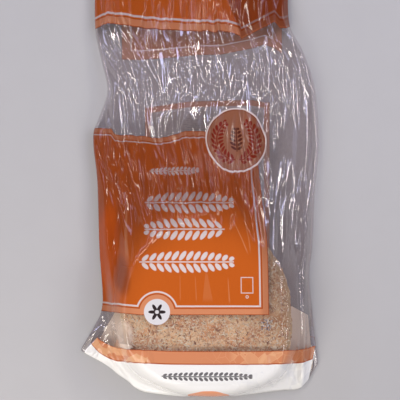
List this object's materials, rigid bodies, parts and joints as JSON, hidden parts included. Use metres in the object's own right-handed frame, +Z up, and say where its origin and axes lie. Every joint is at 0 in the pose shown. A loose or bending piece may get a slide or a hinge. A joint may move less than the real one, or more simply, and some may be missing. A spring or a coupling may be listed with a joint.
{
  "type": "bag of english muffins",
  "caption": "Clear printed food bag lying on its back, mostly empty and wrinkled, pulled over a round flat English muffin at its bottom end, with a loose pleated mouth.",
  "frame": {"origin": "on the resting surface, under the middle of the part's box", "axes": "+X towards the bag's right side, +Y from its bottom end towards its mouth, +Z up out of the printed front"},
  "size_m": [0.136, 0.312, 0.0267],
  "materials": {
    "printed_film": "thin printed polyethylene film, orange and peach panels with white lines, glossy and wrinkled",
    "clear_film": "thin clear polyethylene film, glossy, with fine streaked wrinkles",
    "crust": "griddled bread crust, matte, golden brown and mottled, paler round the side",
    "meal": "coarse dry grain meal and flakes, cream to brown"
  },
  "bodies": {
    "root": {"bag": "printed_film"}
  },
  "joints": []
}
